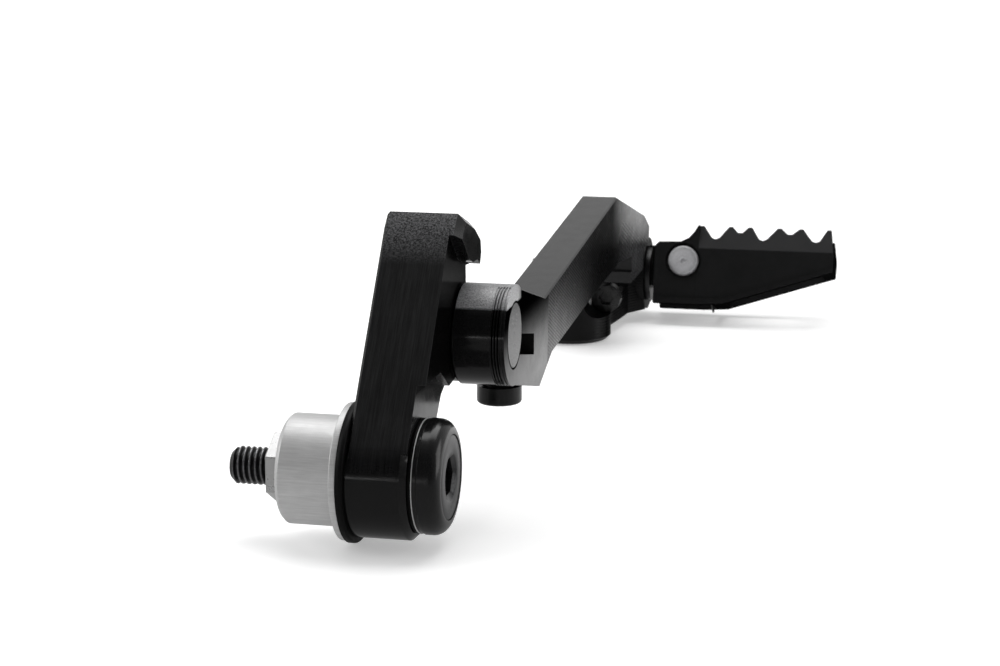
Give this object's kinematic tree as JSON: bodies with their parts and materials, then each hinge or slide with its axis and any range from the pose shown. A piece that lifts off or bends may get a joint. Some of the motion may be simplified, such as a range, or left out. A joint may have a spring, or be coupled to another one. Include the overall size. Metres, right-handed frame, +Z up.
{
  "type": "foot peg lever",
  "caption": "Folding toothed foot peg on an adjustable lever: pivot group, upright arm, split-clamp link, swivel carrier and sprung hinge.",
  "frame": {"origin": "on the pivot axis, in the end face of the hexagonal nose that seats against the machine", "axes": "+X outward along the pivot axis, from the thread towards the cap; +Y rearward along the lever to the peg; +Z up"},
  "size_m": [0.1079, 0.2702, 0.0661],
  "materials": {
    "black_anodised": "satin black anodised aluminium",
    "spacer_alu": "turned bare aluminium",
    "bright_steel": "bright ground steel",
    "black_steel": "black oxide steel",
    "seal_rubber": "black nitrile rubber",
    "bronze": "sintered bronze",
    "spindle_black": "turned black anodised aluminium",
    "pin_silver": "bead blasted bare metal",
    "washer_polymer": "dark low friction polymer",
    "spring_steel": "drawn spring wire"
  },
  "bodies": {
    "mount": {"pivot_screw": "black_steel", "pivot_sleeve": "bright_steel", "flanged_spacer": "spacer_alu", "inner_seal": "seal_rubber", "shim_washer": "bright_steel", "pivot_cap": "black_anodised"},
    "arm": {"pivot_arm": "black_anodised", "pivot_bushes": "bronze", "outer_seal": "seal_rubber", "tilt_spindle": "spindle_black", "spindle_screw": "black_steel"},
    "link": {"tilt_washer": "washer_polymer", "link_arm": "black_anodised", "link_clamp_screw": "black_steel", "swivel_screw": "black_steel", "swivel_spindle": "bright_steel", "swivel_washer": "washer_polymer"},
    "carrier": {"peg_carrier": "black_anodised", "carrier_screw": "black_steel"},
    "stub": {"peg_stub": "black_anodised", "hinge_bush": "bronze", "stub_screw": "black_steel", "stub_washer": "bright_steel", "torsion_spring": "spring_steel"},
    "peg": {"peg_body": "black_anodised", "hinge_pin": "pin_silver", "pin_clip": "bright_steel"}
  },
  "joints": [
    {"name": "lever_pivot", "type": "hinge", "parent": "mount", "child": "arm", "pos_m": [0, 0, 0], "axis": [1, 0, 0], "range_deg": [-12, 12]},
    {"name": "link_tilt", "type": "hinge", "parent": "arm", "child": "link", "pos_m": [0.039, 0.0295, 0.024], "axis": [1, 0, 0], "range_deg": [-25, 18]},
    {"name": "carrier_swivel", "type": "hinge", "parent": "link", "child": "carrier", "pos_m": [0.0242, 0.206, 0], "axis": [0, 0, 1], "range_deg": [-20, 20]},
    {"name": "peg_roll", "type": "hinge", "parent": "carrier", "child": "stub", "pos_m": [0.035, 0.243, -0.0012], "axis": [1, 0, 0], "range_deg": [-15, 30]},
    {"name": "peg_fold", "type": "hinge", "parent": "stub", "child": "peg", "pos_m": [0.0535, 0.24391, 0.00187], "axis": [0, -0.9588, 0.284], "range_deg": [0, 85], "deforming": ["torsion_spring"]}
  ]
}
